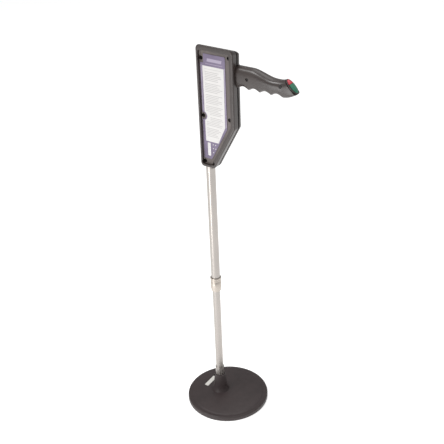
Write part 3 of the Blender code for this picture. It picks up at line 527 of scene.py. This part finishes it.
def lock():
    """Twist lock: a lipped sleeve on the upper tube over a turned collar with fine ribs."""
    lip = LIP_HIGH.x
    top = LIP_HIGH.z
    seat = COLLAR_HIGH.z + GAP
    neck = UPPER_HIGH.x + GAP
    skirt = neck + 0.0006
    inner = LOWER_HIGH.x + GAP
    floor = COLLAR_LOW.z
    profile = [(neck, top), (lip - 0.0010, top), (lip - 0.0003, top - 0.0003), (lip, top - 0.0010)]
    profile += [(lip, seat + 0.0008), (lip - 0.0003, seat), (skirt, seat), (skirt, floor + 0.010)]
    profile += [(inner, floor + 0.010), (inner, UPPER_LOW.z - GAP), (neck, UPPER_LOW.z - GAP)]
    piece = new_piece("lock_lip", turned(profile), "collar_metal", "head")
    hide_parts("lock_body")
    outer = COLLAR_HIGH.x
    high = COLLAR_HIGH.z
    profile = [(skirt + GAP, high), (outer - 0.0005, high), (outer, high - 0.0005)]
    profile += [(outer, high - 0.0028), (outer - 0.0004, high - 0.0032), (outer - 0.0004, high - 0.0038)]
    profile += [(outer, high - 0.0042), (outer, floor + 0.0078), (outer - 0.0002, floor + 0.0070)]
    profile += [(outer - 0.0015, floor + 0.0006), (outer - 0.0022, floor), (inner, floor)]
    profile += [(inner, floor + 0.0028), (skirt + GAP, floor + 0.0028)]
    bm = turned(profile, 144)
    for vertex in bm.verts:
        radius = math.hypot(vertex.co.x, vertex.co.y)
        ribbed = floor + 0.0075 < vertex.co.z < high - 0.0040 and radius > outer - 0.0003
        if ribbed:
            wave = 0.5 + 0.5 * math.cos(RIBS * math.atan2(vertex.co.y, vertex.co.x))
            shrink = (radius - RIB_DEPTH * wave) / radius
            vertex.co.x *= shrink
            vertex.co.y *= shrink
    piece = new_piece("lock_collar_fine", bm, "collar_metal", "collar")
    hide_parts("lock_collar")


# ---------------------------------------------------------------- antenna foot


def foot_cover():
    """Round cover: a step and a bead at the rim, and a boss that flares into the disc."""
    step = FOOT_RADIUS - 0.0107
    bead = FOOT_RADIUS - 0.003
    profile = [(0.0005, FOOT_TOP), (step - 0.0016, FOOT_TOP), (step - 0.0007, FOOT_TOP - 0.0003)]
    profile += [(step + 0.0007, FOOT_TOP - 0.0012), (step + 0.0016, FOOT_TOP - 0.0015)]
    profile += [(bead - 0.0030, FOOT_TOP - 0.0015)]
    for index in range(13):
        angle = math.radians(115.0 - 115.0 * index / 12)
        profile.append((bead + 0.003 * math.cos(angle), FOOT_TOP - 0.0038 + 0.003 * math.sin(angle)))
    profile += [(FOOT_RADIUS, 0.0012), (FOOT_RADIUS - 0.0010, 0.0), (FOOT_RADIUS - 0.0026, 0.0)]
    profile += [(FOOT_RADIUS - 0.0026, FOOT_TOP - 0.0044), (step, FOOT_TOP - 0.0044)]
    profile += [(step - 0.001, FOOT_TOP - 0.0026), (0.0005, FOOT_TOP - 0.0026)]
    cover = new_piece("foot_cover", turned(profile, 180, (FOOT_X, 0.0)), "foot_plastic", "foot")
    boss = [(0.0005, BOSS_TOP), (BOSS_TOP_RADIUS - 0.0012, BOSS_TOP)]
    boss += [(BOSS_TOP_RADIUS - 0.0003, BOSS_TOP - 0.0003), (BOSS_TOP_RADIUS, BOSS_TOP - 0.0012)]
    height = BOSS_TOP - 0.0012 - FOOT_TOP
    for index in range(1, 15):
        share = index / 14
        flare = 0.0045 * share + 0.0030 * share**9
        boss.append((BOSS_TOP_RADIUS + flare, FOOT_TOP + 0.0002 + height * (1.0 - share)))
    boss += [(BOSS_TOP_RADIUS + 0.0080, FOOT_TOP - 0.0008), (0.0005, FOOT_TOP - 0.0008)]
    bore = scratch(rod(FERRULE_HIGH.x + 0.0002, (0, 0, FERRULE_LOW.z - 0.001), (0, 0, BOSS_TOP + 0.01), 96))
    carve(cover, [weld(turned(boss, 96)), ("DIFFERENCE", bore)])
    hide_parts("antenna_cover")


def sticker():
    """Blank plate with rounded corners and a thin raised film on it."""
    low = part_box("disc_sticker")[0]
    turn = Matrix.Translation((-0.0310, 0.0062, low.z)) @ Matrix.Rotation(math.radians(2.0), 4, "Z")
    layers = (("sticker_plate", 0.0, 0.0, 0.0003), ("sticker_film", 0.0008, 0.0003, 0.0004))
    for name, inset, base, top in layers:
        corners = [(-0.0045, -0.0175), (0.0045, -0.0175), (0.0045, 0.0175), (-0.0045, 0.0175)]
        edge = outline([(x, y, 0.0012) for x, y in corners], inset)
        bm = bridge([[(x, y, z) for x, y in edge] for z in (base, top)])
        bmesh.ops.transform(bm, verts=bm.verts, matrix=turn)
        piece = new_piece(name, bm, "sticker", "foot")
        if name == "sticker_plate":
            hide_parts("disc_sticker")


# ---------------------------------------------------------------- head case


CASE_CORNERS = (
    (CASE_LEFT, CASE_BOTTOM, 0.008),
    (0.017, CASE_BOTTOM, 0.007),
    (CASE_RIGHT, 0.638, 0.010),
    (CASE_RIGHT, CASE_TOP, 0.009),
    (CASE_LEFT, CASE_TOP, 0.009),
)
TRAY_CORNERS = (
    (CASE_LEFT + 0.0046, CASE_BOTTOM + 0.0055, 0.004),
    (0.0101, CASE_BOTTOM + 0.0055, 0.004),
    (CASE_RIGHT - 0.0085, 0.6405, 0.006),
    (CASE_RIGHT - 0.0085, CASE_TOP - 0.0100, 0.004),
    (CASE_LEFT + 0.0046, CASE_TOP - 0.0100, 0.004),
)
PANEL_CORNERS = (
    (-0.0024, 0.6012, 0.0004),
    (0.0258, 0.6012, 0.0004),
    (0.0419, 0.6352, 0.0006),
    (0.0428, 0.7468, 0.0004),
    (-0.0034, 0.7468, 0.0004),
)
TRAY_FLOOR = LABEL_HIGH.y + GAP
BAND_BACK = 0.010
WALL = 0.0024
RAISED = 0.012
TOP_DROP = 0.009
DROP_HEIGHT = 0.018
RIM_ROUND = 0.0018
DEEPEST_DROP = 0.918
SCREW_RECESS = 0.0038
SCREW_BORE = 0.0018
# Hinge of the battery door: its depth, its height above the lid's edge, and its pins.
PIVOT_Y = 0.0208
PIVOT_RISE = 0.0012
PIN_REACH = 0.0012
PIN_RADIUS = 0.00055
PIN_BORE = 0.00085


def slope(x, y, z):
    """Lower the top of the case towards its back."""
    share = min(max((z - CASE_TOP + DROP_HEIGHT) / DROP_HEIGHT, 0.0), 1.0)
    depth = min(max((y - CASE_FRONT - RIM_ROUND) / (BAND_BACK - CASE_FRONT), 0.0), DEEPEST_DROP)
    return (x, y, z - TOP_DROP * share * depth)


def outline(corners, inset=0.0):
    """Return a convex outline with rounded corners, moved in by an inset."""
    points = []
    for index, (x, z, radius) in enumerate(corners):
        here = Vector((x, z))
        into = (here - Vector(corners[index - 1][:2])).normalized()
        away = (Vector(corners[(index + 1) % len(corners)][:2]) - here).normalized()
        first = Vector((-into.y, into.x))
        second = Vector((-away.y, away.x))
        corner = max(radius - inset, 0.0005)
        centre = here + (first + second) * ((inset + corner) / (1.0 + first.dot(second)))
        turn = first.angle(second)
        start = math.atan2(-first.y, -first.x)
        steps = max(4, round(math.degrees(turn) / 9.0))
        for step in range(steps + 1):
            angle = start + turn * step / steps
            points.append((centre.x + corner * math.cos(angle), centre.y + corner * math.sin(angle)))
    return points


def ring(corners, inset, y):
    """Return one outline at a depth, lowered at the back of the top."""
    return [slope(x, y, z) for x, z in outline(corners, inset)]


def front_case():
    """Front shell: a rounded rim about a sunk tray whose floor carries a painted highlight, hollow behind,
    with six screw recesses.
    """
    loops = [ring(CASE_CORNERS, WALL, TRAY_FLOOR + 0.0016), ring(CASE_CORNERS, WALL, 0.0)]
    loops += [ring(CASE_CORNERS, 0.0004, 0.0), ring(CASE_CORNERS, 0.0, -0.0004)]
    for inset, back in quarter(0.0024, 6):
        loops.append(ring(CASE_CORNERS, inset, CASE_FRONT + 0.0024 - back))
    for inset, back in reversed(quarter(0.0012)):
        loops.append(ring(TRAY_CORNERS, -inset, CASE_FRONT + 0.0012 - back))
    for inset, rise in ((0.0003, 0.0008), (0.0007, 0.0002), (0.0014, 0.0)):
        loops.append(ring(TRAY_CORNERS, inset, TRAY_FLOOR - rise))
    shell = new_piece("front_case", bridge(loops), "case_plastic", "head")
    steps = []
    for screw in SCREWS:
        x, z = middle_of(screw)
        steps.append(weld(rod(0.0050, (x, TRAY_FLOOR + 0.0006, z), (x, -GAP, z))))
        steps.append(cut(rod(SCREW_RECESS, (x, CASE_FRONT - 0.001, z), (x, -0.0018, z))))
        steps.append(cut(rod(SCREW_BORE, (x, -0.006, z), (x, 0.002, z))))
    lead_from = (0, 0, CASE_BOTTOM - 0.002)
    steps.append(cut(rod(0.0028, lead_from, (0, 0, CASE_BOTTOM + 0.006))))
    carve(shell, steps)
    shell.data.materials.clear()
    shell.data.materials.append(MATERIALS["case_plastic"])
    # The second slot is the lighter tray plastic, a painted highlight on the floor faces.
    shell.data.materials.append(TRAY_PAINTED_HIGHLIGHT)
    for face in shell.data.polygons:
        on_floor = abs(face.center.y - TRAY_FLOOR) < 0.0009 and face.normal.y < -0.5
        face.material_index = 1 if on_floor else 0
    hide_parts("front_shell")


def rounded_block(low, high, radius):
    """Return a block with rounded edges."""
    bm = block(low, high)
    bmesh.ops.bevel(bm, geom=bm.edges[:], offset=radius, segments=4, profile=0.5, affect="EDGES")
    return bm


def rear_case():
    """Rear shell: a band, a raised back with the battery opening, and a shoulder for the grip."""
    inner = RAISED + WALL
    loops = [ring(CASE_CORNERS, inner, CASE_BACK - WALL), ring(CASE_CORNERS, inner, BAND_BACK - WALL)]
    loops += [ring(CASE_CORNERS, WALL, BAND_BACK - WALL), ring(CASE_CORNERS, WALL, 0.004)]
    loops += [ring(CASE_CORNERS, 0.0004, 0.004), ring(CASE_CORNERS, 0.0, 0.0044)]
    for inset, back in quarter(0.0020, 5):
        loops.append(ring(CASE_CORNERS, inset, BAND_BACK - 0.0020 + back))
    for inset, back in quarter(0.0015):
        loops.append(ring(CASE_CORNERS, RAISED - 0.0015 + back, BAND_BACK + inset))
    for inset, back in quarter(0.0025, 6):
        loops.append(ring(CASE_CORNERS, RAISED + inset, CASE_BACK - 0.0025 + back))
    shell = new_piece("rear_case", bridge(loops), "case_plastic", "head")
    spigot_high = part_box("grip_spigot")[1]
    shoulder_low = (CASE_RIGHT - 0.016, 0.0088, GRIP_AXIS_Z - 0.018)
    shoulder = rounded_block(shoulder_low, (CASE_RIGHT - 0.0012, 0.0155, GRIP_AXIS_Z + 0.018), 0.003)
    steps = [weld(shoulder)]
    opening = block(
        (DOOR_LOW.x + PIN_REACH - 0.0005, CASE_BACK - WALL - 0.002, DOOR_LOW.z - 0.0001),
        (DOOR_HIGH.x - PIN_REACH + 0.0005, CASE_BACK + 0.002, DOOR_HIGH.z + 0.0005),
    )
    steps.append(cut(opening))
    grip_hole = block(
        (CASE_RIGHT - 0.020, 0.0037, SPIGOT_LOW_Z - GAP),
        (CASE_RIGHT + 0.010, spigot_high.y + GAP, SPIGOT_HIGH_Z + GAP),
    )
    steps.append(cut(grip_hole))
    sound_z = middle_of(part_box("sounder"))[1]
    for row in range(3):
        for column in range(5 - row % 2):
            x = 0.018 + 0.006 * column + 0.003 * (row % 2)
            z = sound_z + 0.004 * (row - 1)
            steps.append(cut(rod(0.0010, (x, 0.015, z), (x, 0.030, z), 20)))
    for index, screw in enumerate(SCREWS):
        x, z = middle_of(screw)
        front = 0.0043 if index > 3 else GAP
        steps.append(weld(rod(0.0039, (x, front, z), (x, BAND_BACK - 0.001, z))))
        steps.append(cut(rod(SCREW_BORE, (x, -0.002, z), (x, 0.0082, z), 24)))
    pivot_z = DOOR_LOW.z + PIVOT_RISE
    bore_from = (DOOR_LOW.x - 0.0004, PIVOT_Y, pivot_z)
    bore = rod(PIN_BORE, bore_from, (DOOR_HIGH.x + 0.0004, PIVOT_Y, pivot_z), 24)
    steps.append(cut(bore))
    carve(shell, steps)
    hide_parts("rear_shell")


def door():
    """Battery door: a flat lid with rounded corners, thumb grooves and two hinge pins."""
    left = DOOR_LOW.x + PIN_REACH
    right = DOOR_HIGH.x - PIN_REACH
    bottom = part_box("battery_door")[0].z
    corners = ((left, bottom, 0.0012), (right, bottom, 0.0012))
    corners += ((right, DOOR_HIGH.z, 0.0025), (left, DOOR_HIGH.z, 0.0025))
    front = 0.020
    loops = [[(x, front, z) for x, z in outline(corners, 0.0002)]]
    loops.append([(x, front + 0.0002, z) for x, z in outline(corners)])
    for inset, back in quarter(0.0005, 3):
        loops.append([(x, CASE_BACK - 0.0005 + back, z) for x, z in outline(corners, inset)])
    lid = new_piece("battery_lid", bridge(loops), "case_plastic", "door")
    steps = []
    for index in range(5):
        z = DOOR_HIGH.z - 0.006 - 0.0026 * index
        reach = 0.0095 - 0.0006 * (index - 2) ** 2
        middle = (left + right) / 2
        groove_y = CASE_BACK + 0.0005
        groove = rod(0.0011, (middle - reach, groove_y, z), (middle + reach, groove_y, z), 24)
        steps.append(cut(groove))
    pivot_z = bottom + PIVOT_RISE
    pins = rod(PIN_RADIUS, (DOOR_LOW.x, PIVOT_Y, pivot_z), (DOOR_HIGH.x, PIVOT_Y, pivot_z), 24)
    steps.append(weld(pins))
    carve(lid, steps)
    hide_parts("battery_door")


# ---------------------------------------------------------------- face label


def plate(name, corners, front, thick, material, notches=()):
    """Lay a thin printed patch on the label, with round notches."""
    loops = [[(x, y, z) for x, z in outline(corners)] for y in (front, front - thick)]
    patch = new_piece(name, bridge(loops), "label", "head", material)
    tools = [cut(rod(radius, (x, -0.012, z), (x, 0.0, z), 64)) for x, z, radius in notches]
    if tools:
        carve(patch, tools)


def add_bar(bm, x0, x1, z0, z1, front, thick, lean=0.0):
    """Add one flat bar; lean shifts its upper edge along X."""
    corners = [(x0, z0), (x1, z0), (x1 + lean, z1), (x0 + lean, z1)]
    near = [bm.verts.new((x, front - thick, z)) for x, z in corners]
    far = [bm.verts.new((x, front, z)) for x, z in corners]
    bm.faces.new(near)
    bm.faces.new(far[::-1])
    for index in range(4):
        after = (index + 1) % 4
        bm.faces.new((near[after], near[index], far[index], far[after]))


# Thickness of a printed patch and of the print on it.
FILM = 0.00012
INK = 0.00006
LABEL_CORNERS = (
    (-0.0080, 0.5655, 0.001),
    (0.0090, 0.5655, 0.001),
    (0.0462, 0.6330, 0.002),
    (0.0462, 0.7690, 0.002),
    (-0.0080, 0.7690, 0.002),
)


def label_plate():
    """Violet plate, cut back about the upper left screw and notched about the others."""
    loops = [[(x, y, z) for x, z in outline(LABEL_CORNERS)] for y in (LABEL_HIGH.y, LABEL_LOW.y)]
    piece = new_piece("label_plate", bridge(loops), "label", "head")
    steps = [cut(block((-0.02, -0.012, 0.7520), (-0.0010, 0.0, 0.78)))]
    for index in (2, 4, 5):
        x, z = middle_of(SCREWS[index])
        steps.append(cut(rod(0.0068, (x, -0.012, z), (x, 0.0, z), 64)))
    carve(piece, steps)
    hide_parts("face_label")


def label_details():
    """White notice panel with plain rules, a plain heading band and a gauge bar below."""
    surface = LABEL_LOW.y
    notch = (*middle_of(SCREWS[2]), 0.0088)
    plate("label_panel", PANEL_CORNERS, surface, FILM, PANEL, [notch])
    front = surface - FILM
    rules = bmesh.new()
    row = 0
    z = 0.7355
    while z > 0.6065:
        left = 0.0095 if abs(z - notch[1]) < 0.0085 else 0.0012
        right = 0.0385 if z > 0.637 else 0.0385 - (0.637 - z) * 0.46
        if row % 7 != 6:
            share = 0.72 + 0.28 * math.sin(row * 2.3 + 0.6) ** 2
            add_bar(rules, left, left + (right - left) * share, z, z + 0.0011, front, INK)
        row += 1
        z -= 0.0031
    add_bar(rules, 0.0005, 0.0395, 0.7412, 0.7418, front, INK)
    new_piece("label_rules", rules, "label", "head", PRINT)
    heading = bmesh.new()
    add_bar(heading, 0.0065, 0.0380, 0.7555, 0.7612, surface, FILM, 0.0010)
    add_bar(heading, 0.0035, 0.0405, 0.7508, 0.7515, surface, FILM)
    new_piece("label_heading", heading, "label", "head", LILAC)
    gauge_places = ((0.0010, 0.5722), (0.0075, 0.5722), (0.0075, 0.5984), (0.0010, 0.5984))
    gauge = [(x, z, 0.0008) for x, z in gauge_places]
    plate("label_gauge", gauge, surface, FILM, PANEL)
    marks = bmesh.new()
    for index in range(8):
        z = 0.5748 + 0.0030 * index
        add_bar(marks, 0.0020, 0.0044 if index % 2 else 0.0062, z, z + 0.0006, front, INK)
    new_piece("label_marks", marks, "label", "head", PRINT)
    dots = bmesh.new()
    for x, z in ((0.0125, 0.5968), (0.0180, 0.5968), (0.0125, 0.5890), (0.0180, 0.5890), (0.0125, 0.5812)):
        add_bar(dots, x, x + 0.0018, z - 0.0018, z, surface, FILM)
    new_piece("label_dots", dots, "label", "head", PANEL)
    border = bmesh.new()
    add_bar(border, -0.0070, -0.0050, 0.6600, 0.7480, surface, 0.00010)
    add_bar(border, 0.0437, 0.0453, 0.6360, 0.7480, surface, 0.00010)
    new_piece("label_border", border, "label", "head", LILAC)


# ---------------------------------------------------------------- grip and buttons


SPIGOT_LOW_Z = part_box("grip_spigot")[0].z + 0.0045
SPIGOT_HIGH_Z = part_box("grip_spigot")[1].z - 0.0045
GRIP_ROOT = GRIP_LOW.x
GRIP_TIP = 0.1925
GRIP_AXIS_Z = 0.736
GRIP_DROOP = 0.062
BACK_HIGH = 0.7553
BACK_FALL = 0.0108
FALL_START = 0.096
FALL_END = 0.144
CREST_LOW = 0.7144
FINGER_PITCH = 0.0231
FINGER_START = 0.0905
FINGER_DEPTH = 0.0047
TAIL_START = FINGER_START + 3 * FINGER_PITCH
TAIL_RISE = 0.0118
TAIL_LENGTH = 0.0295
TAIL_POWER = 1.8
TAIL_TAPER = 0.056
LIFT_HEIGHT = 0.0035
LIFT_START = 0.150
LIFT_LENGTH = 0.016
LIFT_LIMIT = 1.4
ROOT_HALF_WIDTH = 0.0104
SWELL = 0.0014
SWELL_LENGTH = 0.095
SECTION_POWER = 0.82
GRIP_WALL = 0.0023
HALF_PARTING = 0.00015
BUTTON_LENGTH = 0.0142
BUTTON_WIDTH = 0.0064
BUTTON_DOME = 0.0028
BUTTON_SPLIT = -0.0046
END_TILT = math.radians(45.0)
BEZEL_LOW, BEZEL_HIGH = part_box("button_bezel")
BEZEL_THICK = 0.0022
BEZEL_LENGTH = 0.0158
BEZEL_WIDTH = 0.0086
NORMAL = Vector((math.sin(END_TILT), 0.0, math.cos(END_TILT)))
END_CENTRE = (BEZEL_LOW + BEZEL_HIGH) / 2 + NORMAL * BEZEL_THICK / 2
END_FRAME = Matrix.Translation(END_CENTRE) @ Matrix.Rotation(END_TILT, 4, "Y")


def grip_axis(x):
    """Height of the grip's sloping middle line."""
    return GRIP_AXIS_Z - GRIP_DROOP * (x - CASE_RIGHT)


def grip_top(x):
    """Height of the back above the middle line: a fall, then a lift to the end."""
    share = min(max((x - FALL_START) / (FALL_END - FALL_START), 0.0), 1.0)
    fall = BACK_FALL * share * share * (3.0 - 2.0 * share)
    lift = LIFT_HEIGHT * min(max(x - LIFT_START, 0.0) / LIFT_LENGTH, LIFT_LIMIT) ** 2
    return BACK_HIGH - fall + lift - grip_axis(x)


def grip_bottom(x):
    """Depth below the middle line: finger hollows, then a rising tail."""
    if x < TAIL_START:
        rise = FINGER_DEPTH * abs(math.sin(math.pi * (x - FINGER_START) / FINGER_PITCH))
    else:
        rise = TAIL_RISE * ((x - TAIL_START) / TAIL_LENGTH) ** TAIL_POWER
    return grip_axis(x) - CREST_LOW - rise


def grip_half_width(x):
    """Half width: a slight swell in the palm, then a taper."""
    swell = ROOT_HALF_WIDTH + SWELL * math.sin(math.pi * min((x - CASE_RIGHT) / SWELL_LENGTH, 1.0))
    along = max(x - TAIL_START, 0.0) / TAIL_TAPER
    return swell * math.sqrt(1.0 - along * along)


def grip_arc(x, inset, side, steps=28):
    """Return half of the squared oval section, from its underside to its back."""
    points = []
    for step in range(steps + 1):
        angle = -math.pi / 2 + math.pi * step / steps
        rise = math.copysign(abs(math.sin(angle)) ** SECTION_POWER, math.sin(angle))
        reach = grip_top(x) if rise > 0.0 else grip_bottom(x)
        across = max(math.cos(angle), 0.0) ** SECTION_POWER * (grip_half_width(x) - inset)
        points.append((x, GRIP_Y + side * (HALF_PARTING + across), grip_axis(x) + rise * (reach - inset)))
    return points


def grip_half(name, side, node):
    """One moulded half of the grip, hollow, cut by the sloping end."""
    loops = []
    stations = 126
    for index in range(stations + 1):
        x = GRIP_ROOT + (GRIP_TIP - GRIP_ROOT) * index / stations
        loops.append(grip_arc(x, 0.0, side) + grip_arc(x, GRIP_WALL, side)[::-1])
    half = new_piece(name, bridge(loops), "case_plastic", "head")
    end = block((-0.04, -0.03, -0.0025), (0.04, 0.03, 0.04))
    bmesh.ops.transform(end, verts=end.verts, matrix=END_FRAME)
    steps = [cut(end)]
    if side < 0:
        for screw in GRIP_SCREWS:
            x, z = middle_of(screw)
            steps.append(weld(rod(0.0042, (x, GRIP_Y - 0.0095, z), (x, 0.0041, z))))
            steps.append(cut(rod(0.0031, (x, -0.02, z), (x, GRIP_Y - 0.0085, z))))
            steps.append(cut(rod(0.0015, (x, -0.02, z), (x, 0.006, z))))
    carve(half, steps)
    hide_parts(node)


def bezel():
    """Oval frame about the buttons, rounded on its outer edge."""
    low = -BEZEL_THICK
    section = [(-0.0012, low), (-0.0012, -0.0002), (-0.0010, 0.0), (-0.0006, 0.0)]
    section += [(-0.0003, -0.0001), (-0.0001, -0.0003), (0.0, -0.0007), (0.0, low)]
    loops = []
    for step in range(96):
        angle = 2.0 * math.pi * step / 96
        across = math.cos(angle)
        along = math.sin(angle)
        loops.append([((BEZEL_LENGTH + o) * across, (BEZEL_WIDTH + o) * along, h) for o, h in section])
    bm = bridge(loops, close=True)
    bmesh.ops.transform(bm, verts=bm.verts, matrix=END_FRAME)
    piece = new_piece("button_bezel_fine", bm, "case_plastic", "head")
    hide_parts("button_bezel")


def button(name, low, high, slot, body, node):
    """One end of a long dome that stands out of the sloping end."""
    bm = bmesh.new()
    bmesh.ops.create_uvsphere(bm, u_segments=96, v_segments=40, radius=1.0)
    bmesh.ops.scale(bm, verts=bm.verts, vec=(BUTTON_LENGTH, BUTTON_WIDTH, BUTTON_DOME))
    bmesh.ops.transform(bm, verts=bm.verts, matrix=END_FRAME)
    share = block((low, -0.02, -0.02), (high, 0.02, 0.02))
    bmesh.ops.transform(share, verts=share.verts, matrix=END_FRAME)
    dome = new_piece(name, bm, slot, body)
    carve(dome, [("INTERSECT", scratch(share))])
    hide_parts(node)


def grip():
    """Both halves, the bezel and the two buttons."""
    grip_half("grip_front_shell", -1, "grip_front_half")
    grip_half("grip_rear_shell", 1, "grip_rear_half")
    bezel()
    button("red_dome", -0.03, BUTTON_SPLIT - 0.0003, "red_plastic", "red_key", "red_button")
    button("green_dome", BUTTON_SPLIT + 0.0003, 0.03, "green_plastic", "green_key", "green_button")


camera()
studio()
dress_frame()
pole()
coiled_lead()
ferrule()
lock()
foot_cover()
front_case()
rear_case()
door()
sticker()
label_plate()
label_details()
grip()
